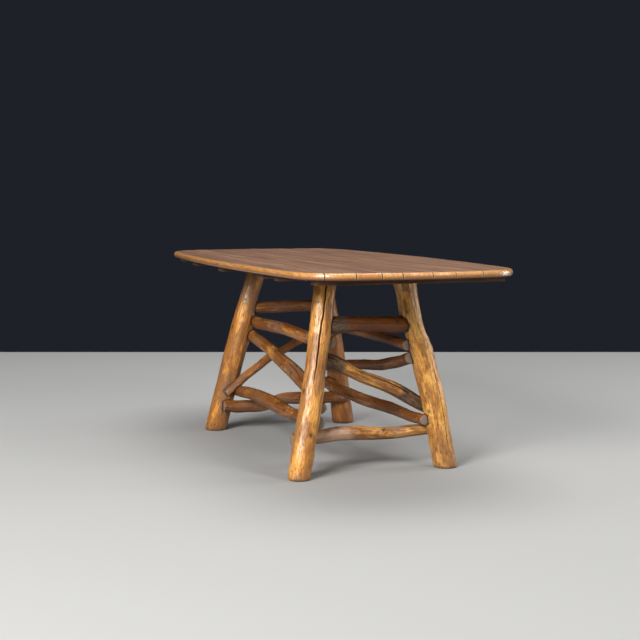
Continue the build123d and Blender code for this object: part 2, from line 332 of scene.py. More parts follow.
def make_long_grain():
    """What any sawn or peeled wood shows along its grain: streaks, pores and drying checks.

    Each scale is in ripples a metre, twice across the grain and once along it.
    """
    group, given, result = new_group(
        "long_grain",
        {"Grain": "Vector"},
        {"Streaks": "Float", "Broad": "Float", "Pores": "Float", "Checks": "Float"},
    )
    grain = given.outputs["Grain"]
    fine = stretched_noise(group, grain, (310, 310, 9), 3, 0.6)
    broad = stretched_noise(group, grain, (62, 62, 3.1), 2)
    pores = stretched_noise(group, grain, (620, 620, 42), 1)
    line = stretched_noise(group, grain, (85, 85, 2.3), 1, 0.4)
    where = stretched_noise(group, grain, (9, 9, 3.4), 1)
    off_line = maths(group, "ABSOLUTE", maths(group, "SUBTRACT", line, 0.5))
    thin = ramp(group, off_line, 0.011, 0.003)
    checks = times(group, thin, ramp(group, where, 0.52, 0.6))
    for title, value in (
        ("Streaks", ramp(group, fine, 0.3, 0.7)),
        ("Broad", ramp(group, broad, 0.32, 0.68)),
        ("Pores", ramp(group, pores, 0.62, 0.72)),
        ("Checks", checks),
    ):
        group.links.new(value, result.inputs[title])
    return group


def use_group(tree, group, **inputs):
    """Places a group in a material, with its own values."""
    return add_node(tree, "ShaderNodeGroup", inputs, node_tree=group).outputs


def finished(tree, output, colour, roughness, height, depth, gloss=0.5, coat=0, coat_roughness=0):
    """The surface of the wood, with its relief, its gloss and its coat of varnish."""
    relief = add_node(tree, "ShaderNodeBump", {"Height": height, "Distance": depth})
    surface = add_node(
        tree,
        "ShaderNodeBsdfPrincipled",
        {
            "Base Color": colour,
            "Roughness": roughness,
            "Specular IOR Level": gloss,
            "Normal": relief.outputs[0],
            "Coat Weight": coat,
            "Coat Roughness": coat_roughness,
        },
    )
    tree.links.new(surface.outputs[0], output.inputs["Surface"])


long_grain = make_long_grain()


def make_board_wood():
    """Flat-sawn figure: growth rings cut at a slant, brown on the face and amber at the rim."""
    material, output = empty_material("board_wood")
    tree = material.node_tree
    grain = read_value(tree, "grain").outputs["Vector"]
    tone, depth_down, from_joint = (
        read_value(tree, title).outputs["Fac"] for title in ("tone", "depth_down", "from_joint")
    )
    rim = ramp(tree, depth_down, *BOARD_RIM_DEPTH)
    under = ramp(tree, depth_down, *BOARD_UNDER_DEPTH)
    dirt = ramp(tree, from_joint, *BOARD_DIRT_REACH)
    edge_highlight = ramp(tree, from_joint, *BOARD_EDGE_HIGHLIGHT_FROM)
    edge_highlight = times(tree, edge_highlight, ramp(tree, from_joint, *BOARD_EDGE_HIGHLIGHT_TO))
    lines = use_group(tree, long_grain, Grain=grain)
    parts = add_node(tree, "ShaderNodeSeparateXYZ", {0: grain})
    wander = stretched_noise(tree, grain, (7, 7, 1.1), 3, 0.55)
    rings = times(tree, maths(tree, "ABSOLUTE", parts.outputs[0]), BOARD_RING_SLANT)
    rings = maths(tree, "ADD", rings, times(tree, wander, BOARD_RING_WANDER))
    rings = maths(tree, "SINE", times(tree, rings, BOARD_RINGS))
    figure = ramp(tree, rings, -0.7, 1.0)
    share = weighted(tree, tone, 0.40)
    share = weighted(tree, lines["Streaks"], 0.30, share)
    share = weighted(tree, figure, 0.35, share)
    face = blend(tree, share, BOARD_PALE, BOARD_WARM)
    face = blend(tree, times(tree, lines["Broad"], 0.45), face, BOARD_DARK)
    stripes = stretched_noise(tree, grain, (105, 105, 0.9), 1, 0.4)
    face = blend(tree, ramp(tree, stripes, 0.58, 0.68, 0, 0.30), face, BOARD_STREAK_AND_HIGHLIGHT)
    face = blend(tree, ramp(tree, stripes, 0.42, 0.34, 0, 0.45), face, BOARD_DARK)
    edge = blend(tree, share, BOARD_RIM_PALE, BOARD_RIM_WARM)
    # The lower part of the rim is darkened as painted shade.
    edge = blend(tree, ramp(tree, depth_down, *BOARD_RIM_SHADE_DEPTH, 0, 0.8), edge, BOARD_RIM_SHADE)
    end_pores = ramp(tree, stretched_noise(tree, grain, (520, 60, 60), 2, 0.6), 0.5, 0.68)
    end_pores = times(tree, end_pores, ramp(tree, depth_down, 0.002, 0.006, 0, 0.4))
    edge = blend(tree, end_pores, edge, BOARD_DARK)
    colour = blend(tree, rim, face, edge)
    # A pale band along each arris beside a joint is a painted highlight, where the edge catches
    # light.
    colour = blend(tree, times(tree, edge_highlight, 0.30), colour, BOARD_STREAK_AND_HIGHLIGHT)
    marks = strongest(tree, (lines["Pores"], 0.45), (lines["Checks"], 0.8), (dirt, 0.9))
    colour = blend(tree, marks, colour, BOARD_DARK)
    colour = blend(tree, times(tree, under, 0.9), colour, BOARD_RAW)
    roughness = weighted(tree, lines["Streaks"], 0.12, 0.36)
    roughness = maths(tree, "SUBTRACT", roughness, times(tree, rim, 0.08))
    roughness = weighted(tree, under, 0.45, roughness)
    coat = weighted(tree, rim, BOARD_RIM_COAT, BOARD_COAT)
    coat = maths(tree, "SUBTRACT", coat, maths(tree, "MAXIMUM", under, dirt), True)
    height = maths(tree, "SUBTRACT", times(tree, lines["Streaks"], 0.4), marks)
    finished(
        tree, output, colour, roughness, height, BOARD_RELIEF,
        coat=coat, coat_roughness=BOARD_COAT_ROUGHNESS,
    )
    return material


def joint_distance(number, across, half_width):
    """How far a place across a board is from the nearest joint with another board."""
    to_back = half_width - across if number < BOARD_COUNT else math.inf
    to_front = half_width + across if number > 1 else math.inf
    return min(to_back, to_front)


def make_board(number, material, draw):
    """One board: its faces sliced, cupped and waved, and its ends and joints a little uneven."""
    node = f"board_{number}"
    built = joined(node)
    sliced(built, BOARD_STEP_ALONG, 0)
    sliced(built, BOARD_STEP_ACROSS, 1)
    low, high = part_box(node)
    middle, half = (low + high) / 2, (high - low) / 2
    drop = draw.uniform(0, BOARD_DROP)
    left_play, right_play = draw.uniform(0, BOARD_END_PLAY), draw.uniform(0, BOARD_END_PLAY)
    aside, ahead = draw.uniform(*GRAIN_ASIDE), draw.uniform(*GRAIN_AHEAD)
    grain, depth_down, from_joint = [], [], []
    for vertex in built.verts:
        place = vertex.co - middle
        grain.append((place.y + aside, place.z, place.x + ahead))
        depth_down.append(high.z - vertex.co.z)
        from_joint.append(joint_distance(number, place.y, half.y))
        swell = BOARD_SWELL * max(0, 1 - from_joint[-1] / BOARD_ARRIS)
        vertex.co.y += math.copysign(swell, place.y)
        if vertex.co.z > high.z - BOARD_PLANED:
            cup = BOARD_CUP * (1 - (place.y / half.y) ** 2)
            spot = Vector((place.x * BOARD_WAVES_ALONG, place.y * BOARD_WAVES_ACROSS, number * 7))
            vertex.co.z -= drop + cup + BOARD_WAVE * (1 + noise.noise(spot))
        end = max(0, abs(place.x) / half.x - (1 - BOARD_END)) / BOARD_END
        play = right_play if place.x > 0 else left_play
        vertex.co.x -= math.copysign(play * min(1, end), place.x)
    mesh = bpy.data.meshes.new(node + "_planed")
    built.to_mesh(mesh)
    built.free()
    give_values(
        mesh,
        grain=grain,
        depth_down=depth_down,
        from_joint=from_joint,
        tone=[draw.random()] * len(grain),
    )
    mesh.shade_smooth()
    mesh.set_sharp_from_angle(angle=SHARP_ANGLE)
    piece = new_piece(node + "_planed", mesh, material, "top_boards", node)
    even = piece.modifiers.new("even_shading", "WEIGHTED_NORMAL")
    even.keep_sharp = True


board_wood = make_board_wood()
board_draw = random.Random(11)
for number in range(1, BOARD_COUNT + 1):
    make_board(number, board_wood, board_draw)


# ---------------------------------------------------------------- the battens
# Six flat hardwood strips screwed across the underside of the boards. They are left from the
# saw and stained dark, without varnish.
BATTEN_COUNT = 6
BATTEN_STEP = 0.02
BATTEN_WAVE = 0.0005
BATTEN_WAVES_ACROSS, BATTEN_WAVES_DEEP = 11, 20  # to a metre
BATTEN_SAW_MARKS = (14, 14, 420)
BATTEN_GLOSS = 0.2
BATTEN_RELIEF = 0.0004
FLAT_ANGLE = math.radians(0.4)
BATTEN_PALE = (0.125, 0.058, 0.026, 1)
BATTEN_WARM = (0.062, 0.028, 0.014, 1)
BATTEN_DARK = (0.026, 0.014, 0.009, 1)


def make_batten_wood():
    """Dark stain over saw marks that run across the strip."""
    material, output = empty_material("batten_wood")
    tree = material.node_tree
    grain = read_value(tree, "grain").outputs["Vector"]
    lines = use_group(tree, long_grain, Grain=grain)
    saw = stretched_noise(tree, grain, BATTEN_SAW_MARKS, 1)
    share = weighted(tree, lines["Broad"], 0.5, times(tree, lines["Streaks"], 0.6))
    colour = blend(tree, share, BATTEN_PALE, BATTEN_WARM)
    marks = strongest(tree, (lines["Pores"], 0.7), (lines["Checks"], 1))
    colour = blend(tree, marks, colour, BATTEN_DARK)
    height = weighted(tree, saw, 0.6, times(tree, lines["Streaks"], 0.5))
    height = maths(tree, "SUBTRACT", height, marks)
    roughness = ramp(tree, saw, 0.3, 0.7, 0.5, 0.65)
    finished(tree, output, colour, roughness, height, BATTEN_RELIEF, gloss=BATTEN_GLOSS)
    return material


def make_batten(number, material, draw):
    """One strip, its faces left a little wavy by the saw."""
    node = f"batten_{number}"
    built = joined(node)
    bmesh.ops.dissolve_limit(built, angle_limit=FLAT_ANGLE, verts=built.verts, edges=built.edges)
    sliced(built, BATTEN_STEP, 1)
    sliced(built, BATTEN_STEP, 0)
    low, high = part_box(node)
    ahead = draw.uniform(*GRAIN_AHEAD)
    grain = []
    for vertex in built.verts:
        x, y, z = vertex.co
        grain.append((x - low.x, z - low.z, y + ahead))
        if low.x + WELD < x < high.x - WELD:
            continue
        spot = Vector((number * 5, y * BATTEN_WAVES_ACROSS, z * BATTEN_WAVES_DEEP))
        bend = BATTEN_WAVE * (1 + noise.noise(spot))
        vertex.co.x += math.copysign(bend, (low.x + high.x) / 2 - x)
    mesh = bpy.data.meshes.new(node + "_sawn")
    built.to_mesh(mesh)
    built.free()
    give_values(mesh, grain=grain)
    mesh.shade_smooth()
    mesh.set_sharp_from_angle(angle=SHARP_ANGLE)
    new_piece(node + "_sawn", mesh, material, "battens", node)


batten_wood = make_batten_wood()
batten_draw = random.Random(5)
for number in range(1, BATTEN_COUNT + 1):
    make_batten(number, batten_wood, batten_draw)


# ---------------------------------------------------------------- the legs
# Four hickory poles, peeled with a drawknife, varnished and tenoned into the battens over them.
# Knots stand where side branches were cut off, the inner bark has left brown patches, and each
# pole has split as it dried.
LEG_NET = 0.0025  # the width of a face of the net
LEG_WEAR_ROUNDS = 22
LEG_FIRST_SEED, LEG_SEED = 3, 3.7  # for the lumps, the grain and the splits of each leg
# A knot has its share of the way up the leg, bearing, size and height. A split has the share and
# bearing of both its ends, half its width and its depth. Bearings go round the pole, from 0 at
# the right end of the table to 90 at the front. Tone is how brown the wood is, below 0 for pale,
# and grey is how weathered. On the back left leg the high tone also paints in the shade that it
# stands in.
LEGS = dict(
    leg_front_left=dict(
        knots=((0.76, 35, 0.014, 0.0018), (0.60, 75, 0.012, 0.002), (0.28, -20, 0.013, 0.0022)),
        splits=((0.30, -62, 0.93, -48, 0.0014, 0.004),),
        tone=0.30,
        grey=0.8,
    ),
    leg_front_right=dict(
        knots=((0.845, 46, 0.006, 0.0009), (0.42, 70, 0.018, 0.003), (0.22, -10, 0.016, 0.0026)),
        splits=((0.46, 19, 0.99, 9, 0.0025, 0.007),),
        tone=0.10,
        grey=0.20,
    ),
    leg_back_right=dict(
        knots=((0.625, -58, 0.020, 0.0042), (0.80, 40, 0.015, 0.0025), (0.30, 55, 0.014, 0.002)),
        splits=((0.05, -12, 0.50, -20, 0.0011, 0.0035), (0.55, 118, 0.9, 110, 0.001, 0.003)),
        tone=-0.3,
        grey=0.35,
    ),
    # Its high tone also paints in the shade that it stands in.
    leg_back_left=dict(
        knots=((0.62, -60, 0.016, 0.003), (0.36, 10, 0.013, 0.002)),
        splits=((0.25, 150, 0.8, 140, 0.0013, 0.004),),
        tone=1.0,
        grey=0.1,
    ),
)
KNOT_LENGTH = 0.75  # draws a knot out along the pole
KNOT_HOLLOW, KNOT_HOLLOW_SIZE = 0.6, 0.38  # where the side branch was cut, as shares of the knot
KNOT_HEART_SIZE = 0.55
SPLIT_WINDING = ((1.3, 13), (0.9, 41))  # degrees aside, and radians in the split's length
SPLIT_TIP, SPLIT_OPENING, SPLIT_CLOSING = 0.15, 3.5, 30  # its low tip, and how fast it widens
SPLIT_FINER = 4.5  # half widths on each side of a split where the net is finer
SWELL = 0.0012  # what the wearing round takes off, given back
# The slow lumps, the drawknife's strokes and fine ridges: ripples to a metre across the pole and
# along it, the way that the seed shifts them, and their height.
LUMPS = ((34, 9, 1, 0.0013), (78, 24, 1, 0.0006), (170, 12, -1, 0.0004))
END_REACH = 0.03  # a sawn end's face is no further than this from the tip
END_FACING, END_BLEND = 0.55, 0.25  # how squarely a sawn face looks along the pole
# How far the painted shade reaches from where a pole touches another piece.
CONTACT_SHADE_REACH = 0.011
FOOT_SCUFF, FOOT_SCUFF_SHARE = 0.05, 0.4
BARK_EDGE = 0.03  # the share of the pole's length that a patch of bark fades over
# Faces that look down are darkened brown as painted shade.
UNDERSIDE_SHADE = 1.4  # how soon a face that looks down is as dark as the underside
LEG_PALE = (0.84, 0.46, 0.115, 1)
LEG_WARM = (0.52, 0.195, 0.026, 1)
LEG_BROWN = (0.15, 0.046, 0.008, 1)
LEG_GREY = (0.19, 0.095, 0.05, 1)
LEG_BARK = (0.035, 0.014, 0.006, 1)
DUSTY_BARK = (0.14, 0.088, 0.052, 1)
SAWN_PALE = (0.25, 0.185, 0.14, 1)
SAWN_DARK = (0.06, 0.038, 0.026, 1)
POLE_RINGS = 2600  # radians of ring to a metre from the heart of the pole
POLE_COAT, POLE_COAT_ROUGHNESS = 0.12, 0.14
POLE_RELIEF = 0.0009


def even_net(node, net, rounds):
    """A pole's solid as an even net of small faces, with its arrises worn round."""
    built = joined(node)
    mesh = bpy.data.meshes.new(node + "_rough")
    built.to_mesh(mesh)
    built.free()
    rough = bpy.data.objects.new(node + "_rough", mesh)
    bpy.context.collection.objects.link(rough)
    remesh = rough.modifiers.new("net", "REMESH")
    remesh.mode = "VOXEL"
    remesh.voxel_size = net
    wear = rough.modifiers.new("wear", "SMOOTH")
    wear.factor = 0.5
    wear.iterations = rounds
    seen = rough.evaluated_get(bpy.context.evaluated_depsgraph_get())
    worn = bpy.data.meshes.new_from_object(seen)
    bpy.data.objects.remove(rough)
    return worn


def columns_of(mesh):
    """The points and the normals of a mesh, in a row each."""
    points = np.empty(len(mesh.vertices) * 3, np.float32)
    normals = np.empty(len(mesh.vertices) * 3, np.float32)
    mesh.vertices.foreach_get("co", points)
    mesh.vertex_normals.foreach_get("vector", normals)
    return points.reshape(-1, 3).astype(float), normals.reshape(-1, 3).astype(float)


class PoleLine:
    """The crooked middle line of a pole, and the two ways across it."""

    COUNT = 25  # the lengths that the pole is taken in
    SPARSE = 7  # every seventh point is enough to find the pole's direction
    STANDING = 0.7  # a pole that rises more steeply than this is a leg

    def __init__(self, points):
        self.middle = points.mean(0)
        few = (points - self.middle)[:: self.SPARSE]
        along = np.linalg.svd(few, full_matrices=False)[2][0]
        self.along = along * np.sign(along[np.argmax(np.abs(along))])
        travel = (points - self.middle) @ self.along
        bins = np.linspace(travel.min(), travel.max(), self.COUNT + 1)
        which = np.clip(np.digitize(travel, bins) - 1, 0, self.COUNT - 1)
        centres = np.array([points[which == i].mean(0) for i in range(self.COUNT)])
        centres[1:-1] = (centres[:-2] + centres[1:-1] * 2 + centres[2:]) / 4
        self.centres = centres
        self.stops = (bins[:-1] + bins[1:]) / 2
        if abs(self.along[2]) > self.STANDING:
            side = np.cross((0, 1, 0), self.along)
        else:
            side = np.cross(self.along, (0, 0, 1))
        self.side = side / np.linalg.norm(side)
        self.through = np.cross(self.side, self.along)

    def at(self, travel):
        """The middle line's points at some distances along it."""
        return np.stack([np.interp(travel, self.stops, self.centres[:, k]) for k in range(3)], 1)

    def straightened(self, points):
        """Each point across, through and along the pole, as if the pole were straight."""
        travel = (points - self.middle) @ self.along
        flat = points - self.at(travel)
        return np.stack([flat @ self.side, flat @ self.through, travel], 1)


def around(straight):
    """Each point's share of the pole's length, bearing and distance from the middle line."""
    across, through, travel = straight.T
    share = (travel - travel.min()) / (travel.max() - travel.min())
    return share, np.arctan2(through, across), np.hypot(across, through)


def turn_from(bearing, degrees):
    """How far each bearing is from another one, the short way round."""
    return (bearing - np.radians(degrees) + math.pi) % (2 * math.pi) - math.pi


def knot_shape(straight, knots):
    """How far the knots lift the surface, and a mask of their dark hearts."""
    share, bearing, radius = around(straight)
    length = np.ptp(straight[:, 2])
    lift = np.zeros(len(straight))
    heart = np.zeros(len(straight))
    for where, degrees, size, height in knots:
        across = turn_from(bearing, degrees) * radius
        away = np.hypot(across, (share - where) * length * KNOT_LENGTH) / size
        hollow = KNOT_HOLLOW * np.exp(-((away / KNOT_HOLLOW_SIZE) ** 2))
        lift += height * (np.exp(-(away**2)) - hollow)
        heart = np.maximum(heart, np.exp(-((away / KNOT_HEART_SIZE) ** 2)))
    return lift, heart


def split_distance(straight, split, seed):
    """How far each point is from a drying split, in half widths of the split there."""
    low, low_degrees, high, high_degrees, half_width, _ = split
    share, bearing, radius = around(straight)
    t = (share - low) / (high - low)
    wander = sum(
        aside * np.sin(t * turns + seed * i) for i, (aside, turns) in enumerate(SPLIT_WINDING, 1)
    )
    centre = low_degrees + (high_degrees - low_degrees) * t + wander
    open_share = np.minimum(t * SPLIT_OPENING + SPLIT_TIP, (1 - t) * SPLIT_CLOSING)
    width = half_width * np.clip(open_share, 1e-3, 1)
    away = np.abs(turn_from(bearing, 0) - np.radians(centre)) * radius / width
    return np.where((t > 0) & (t < 1), away, np.inf)


def made_finer(mesh, close):
    """Cuts the faces of the net in three each way where all their points are close."""
    built = bmesh.new()
    built.from_mesh(mesh)
    edges = set()
    for face in built.faces:
        if all(close[vertex.index] for vertex in face.verts):
            edges.update(face.edges)
    bmesh.ops.subdivide_edges(built, edges=list(edges), cuts=2, use_grid_fill=True)
    built.to_mesh(mesh)
    built.free()


def lumps(straight, seed):
    """What the drawknife left on a peeled pole."""
    lift = np.zeros(len(straight))
    for across, along, way, height in LUMPS:
        spots = straight * (across, across, along) + (0, 0, way * seed)
        lift += height * np.array([noise.noise(spot) for spot in spots.tolist()])
    return lift


def neighbours_tree(node):
    """Every solid but the node's own and the boards, to find what touches it."""
    points, faces = [], []
    for other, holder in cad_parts.items():
        if other == node or other.startswith("board"):
            continue
        first = len(points)
        points += [vertex.co for vertex in holder.data.vertices]
        faces += [[first + i for i in face.vertices] for face in holder.data.polygons]
    return BVHTree.FromPolygons(points, faces)


def room_around(node, points):
    """How far each point is from the nearest other solid, as far as the painted shade reaches."""
    tree = neighbours_tree(node)
    room = np.full(len(points), CONTACT_SHADE_REACH)
    for i, point in enumerate(points):
        found = tree.find_nearest(point, CONTACT_SHADE_REACH)
        if found[0] is not None:
            room[i] = found[3]
    return room


def make_pole(node, net, rounds, facts, seed, material, slot):
    """One peeled pole in place of its plain solid, and its middle line."""
    mesh = even_net(node, net, rounds)
    line = PoleLine(columns_of(mesh)[0])
    splits = facts.get("splits", ())
    for split in splits:
        away = split_distance(line.straightened(columns_of(mesh)[0]), split, seed)
        made_finer(mesh, away < SPLIT_FINER)
    points, normals = columns_of(mesh)
    straight = line.straightened(points)
    travel = straight[:, 2]
    near_end = np.minimum(travel - travel.min(), travel.max() - travel) < END_REACH
    facing_end = np.abs(normals @ line.along)
    sawn = np.clip((facing_end - END_FACING) / END_BLEND, 0, 1) * near_end
    lift, heart = knot_shape(straight, facts["knots"])
    # Where it touches another piece, a pole takes no more than half the room between them.
    room = room_around(node, points)
    lift = np.minimum(lift + SWELL + lumps(straight, seed), room / 2)
    split_mask = np.zeros(len(points))
    for split in splits:
        groove = np.exp(-(split_distance(straight, split, seed) ** 2))
        depth = split[-1]
        lift -= groove * depth
        split_mask = np.maximum(split_mask, groove)
    points += normals * (lift * (1 - sawn))[:, None]
    low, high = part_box(node)
    points = np.clip(points, low, high)
    mesh.vertices.foreach_set("co", points.astype(np.float32).ravel())
    mesh.update()
    share = around(straight)[0]
    scuffed = np.clip(1 - points[:, 2] / FOOT_SCUFF, 0, 1) * FOOT_SCUFF_SHARE
    bark = np.zeros(len(points))
    for start, end in facts.get("bark", ()):
        inside = np.minimum(share - start, end - share) / BARK_EDGE
        bark = np.maximum(bark, np.clip(inside + 0.5, 0, 1))
    give_values(
        mesh,
        grain=straight + (0, 0, seed),
        sawn=sawn,
        heart=heart,
        split=split_mask,
        bark=bark,
        # Painted shade where the pole touches other pieces, and scuffs at its foot.
        grime=np.maximum((1 - room / CONTACT_SHADE_REACH) ** 1.5, scuffed),
        # Painted shade on faces that look down.
        below=np.clip(-UNDERSIDE_SHADE * normals[:, 2], 0, 1) * (1 - sawn),
        tone=np.full(len(points), facts["tone"]),
        grey=np.full(len(points), facts["grey"]),
    )
    mesh.shade_smooth()
    return new_piece(node + "_peeled", mesh, material, slot, node), line


def make_pole_wood(name, pale, warm, brown, grey, bark):
    """Varnished hickory under the bark: honey streaks, brown patches, knots and checks."""
    material, output = empty_material(name)
    tree = material.node_tree
    grain = read_value(tree, "grain").outputs["Vector"]
    sawn, heart, split, left_bark, grime, tone, weather, below = (
        read_value(tree, title).outputs["Fac"]
        for title in ("sawn", "heart", "split", "bark", "grime", "tone", "grey", "below")
    )
    # The browns of the inner bark lie in patches with ragged edges, and in small flecks.
    lines = use_group(tree, long_grain, Grain=grain)
    patches = stretched_noise(tree, grain, (27, 27, 8), 3, 0.6)
    ragged = stretched_noise(tree, grain, (130, 130, 36), 3, 0.62)
    flecks = stretched_noise(tree, grain, (270, 270, 55), 3, 0.65)
    share = weighted(tree, lines["Broad"], 0.35, times(tree, lines["Streaks"], 0.55))
    share = weighted(tree, tone, 0.6, share)
    colour = blend(tree, share, pale, warm)
    spread = weighted(tree, ragged, 0.3, times(tree, patches, 0.9))
    spread = weighted(tree, tone, 0.10, spread)
    browned = ramp(tree, spread, 0.56, 0.65)
    deep = times(tree, tone, tone)
    deep = times(tree, deep, ramp(tree, patches, 0.38, 0.6, 0.4, 0.9))
    colour = blend(tree, ramp(tree, spread, 0.51, 0.59, 0, 0.5), colour, warm)
    colour = blend(tree, strongest(tree, (browned, 0.55), (deep, 1)), colour, brown)
    flecked = ramp(tree, flecks, 0.52, 0.62)
    flecked = times(tree, flecked, weighted(tree, browned, 0.25, 0.50))
    colour = blend(tree, flecked, colour, brown)
    # Faces that look down take a painted shade in the brown.
    colour = blend(tree, times(tree, below, 0.55), colour, brown)
    # Over them come the grey of the weather, painted shade with a little dirt in the corners where
    # pieces touch, scuffs at the foot, and the bark that is left.
    clouds = stretched_noise(tree, grain, (11, 11, 4.2), 2, 0.5)
    greyed = times(tree, ramp(tree, clouds, 0.47, 0.62), weather)
    colour = blend(tree, greyed, colour, grey)
    # Where pieces touch, this paints shade in the dark colour of bark; elsewhere it adds ragged
    # dirt.
    dirt_and_contact_shade = weighted(tree, ragged, 0.5, times(tree, grime, 1.1))
    dirt_and_contact_shade = times(tree, ramp(tree, dirt_and_contact_shade, 0.35, 0.95), 0.85)
    colour = blend(tree, dirt_and_contact_shade, colour, bark)
    colour = blend(tree, times(tree, left_bark, 0.85), colour, DUSTY_BARK)
    marks = strongest(
        tree,
        (lines["Pores"], 0.4),
        (lines["Checks"], 1),
        (ramp(tree, flecks, 0.60, 0.68), 0.45),
        (heart, 0.8),
        (times(tree, left_bark, ramp(tree, ragged, 0.42, 0.60)), 0.7),
        (ramp(tree, split, 0.25, 0.7), 1),
    )
    colour = blend(tree, marks, colour, bark)
    # The sawn ends show the rings round the heart of the pole.
    parts = add_node(tree, "ShaderNodeSeparateXYZ", {0: grain})
    across = add_node(tree, "ShaderNodeCombineXYZ", {0: parts.outputs[0], 1: parts.outputs[1]})
    radius = add_node(tree, "ShaderNodeVectorMath", {0: across.outputs[0]}, operation="LENGTH")
    rings = maths(tree, "ADD", radius.outputs["Value"], times(tree, patches, 0.006))
    rings = maths(tree, "SINE", times(tree, rings, POLE_RINGS))
    rings = ramp(tree, rings, -0.4, 1.0)
    end_grain = blend(tree, times(tree, rings, 0.6), SAWN_PALE, SAWN_DARK)
    colour = blend(tree, sawn, colour, end_grain)
    roughness = weighted(tree, browned, 0.10, 0.22)
    roughness = weighted(tree, sawn, 0.45, roughness)
    roughness = weighted(tree, dirt_and_contact_shade, 0.3, roughness)
    roughness = weighted(tree, below, 0.4, roughness)
    dulled = times(tree, maths(tree, "MAXIMUM", below, dirt_and_contact_shade), POLE_COAT)
    coat = maths(tree, "SUBTRACT", POLE_COAT, dulled)
    height = maths(tree, "SUBTRACT", times(tree, lines["Streaks"], 0.5), marks)
    height = maths(tree, "SUBTRACT", height, times(tree, flecked, 0.5))
    height = maths(tree, "ADD", height, times(tree, ragged, 0.8))
    finished(
        tree, output, colour, roughness, height, POLE_RELIEF,
        coat=coat, coat_roughness=POLE_COAT_ROUGHNESS,
    )
    return material


leg_wood = make_pole_wood("leg_wood", LEG_PALE, LEG_WARM, LEG_BROWN, LEG_GREY, LEG_BARK)
poles = {}
for count, (node, facts) in enumerate(LEGS.items(), LEG_FIRST_SEED):
    poles[node] = make_pole(
        node, LEG_NET, LEG_WEAR_ROUNDS, facts, count * LEG_SEED, leg_wood, "leg_poles"
    )


# ---------------------------------------------------------------- the branches
# Twelve crooked hickory branches, peeled like the legs but darker. Ten are scribed to their legs
# and nailed. The two highest, at the ends of the table, are tenoned.
BRANCH_NET = 0.0025
BRANCH_WEAR_ROUNDS = 13
BRANCH_FIRST_SEED, BRANCH_SEED = 9, 2.9
# Knots and splits are given as on the legs, but shares run to the right or to the back, 90 faces
# up, and 0 faces the front or the right end. A patch of bark has its first and its last share.
# The high tones of the back upper rail, the back brace and the right upper rail also paint in the
# shade that they stand in, and the low tone of the right brace is a painted highlight.
BRANCHES = dict(
    front_upper_rail=dict(
        knots=((0.2, 40, 0.012, 0.002), (0.62, 100, 0.013, 0.002)), tone=0.45, grey=0.4
    ),
    front_brace=dict(
        knots=((0.35, 80, 0.012, 0.0022), (0.7, 20, 0.014, 0.0022)), tone=0.25, grey=0.2
    ),
    front_lower_rail=dict(
        knots=((0.3, 60, 0.013, 0.002), (0.68, 30, 0.016, 0.003)), tone=0.5, grey=0.1
    ),
    # Its high tone also paints in the shade that it stands in.
    back_upper_rail=dict(knots=((0.45, 60, 0.013, 0.002),), tone=0.9, grey=0.0),
    # Its high tone also paints in the shade that it stands in.
    back_brace=dict(
        knots=((0.5, 120, 0.015, 0.003), (0.3, 40, 0.010, 0.002)), tone=0.95, grey=0.1
    ),
    back_lower_rail=dict(
        knots=((0.4, 90, 0.014, 0.002), (0.8, 30, 0.011, 0.002)), tone=0.5, grey=0.1
    ),
    # Its high tone also paints in the shade that it stands in.
    right_upper_rail=dict(
        knots=((0.35, 70, 0.016, 0.003), (0.75, 30, 0.013, 0.0025)),
        splits=((0.3, 72, 0.9, 60, 0.0014, 0.004),),
        bark=((-0.02, 0.30),),
        tone=0.9,
        grey=0.0,
    ),
    # Its low tone is a painted highlight on the brace.
    right_brace=dict(
        knots=((0.22, 60, 0.013, 0.003), (0.75, 30, 0.011, 0.0018)),
        splits=((0.20, 58, 0.80, 30, 0.0022, 0.005),),
        bark=((-0.02, 0.26), (0.73, 1.02)),
        tone=-0.35,
        grey=0.1,
    ),
    right_lower_rail=dict(
        knots=((0.3, 70, 0.014, 0.002), (0.62, 40, 0.011, 0.002)), tone=-0.1, grey=0.85
    ),
    left_upper_rail=dict(knots=((0.4, 60, 0.012, 0.002),), tone=0.45, grey=0.2),
    left_brace=dict(
        knots=((0.35, 60, 0.009, 0.0016), (0.72, 50, 0.008, 0.0014)), tone=0.40, grey=0.2
    ),
    left_lower_rail=dict(
        knots=((0.38, 80, 0.013, 0.0025), (0.6, 20, 0.012, 0.002)), tone=0.5, grey=0.3
    ),
)
BRANCH_PALE = (0.74, 0.39, 0.10, 1)
BRANCH_WARM = (0.27, 0.080, 0.009, 1)
BRANCH_BROWN = (0.085, 0.025, 0.005, 1)
BRANCH_GREY = (0.36, 0.225, 0.16, 1)
BRANCH_BARK = (0.026, 0.012, 0.006, 1)

branch_wood = make_pole_wood(
    "branch_wood", BRANCH_PALE, BRANCH_WARM, BRANCH_BROWN, BRANCH_GREY, BRANCH_BARK
)
for count, (node, facts) in enumerate(BRANCHES.items(), BRANCH_FIRST_SEED):
    poles[node] = make_pole(
        node, BRANCH_NET, BRANCH_WEAR_ROUNDS, facts, count * BRANCH_SEED, branch_wood, "branches"
    )


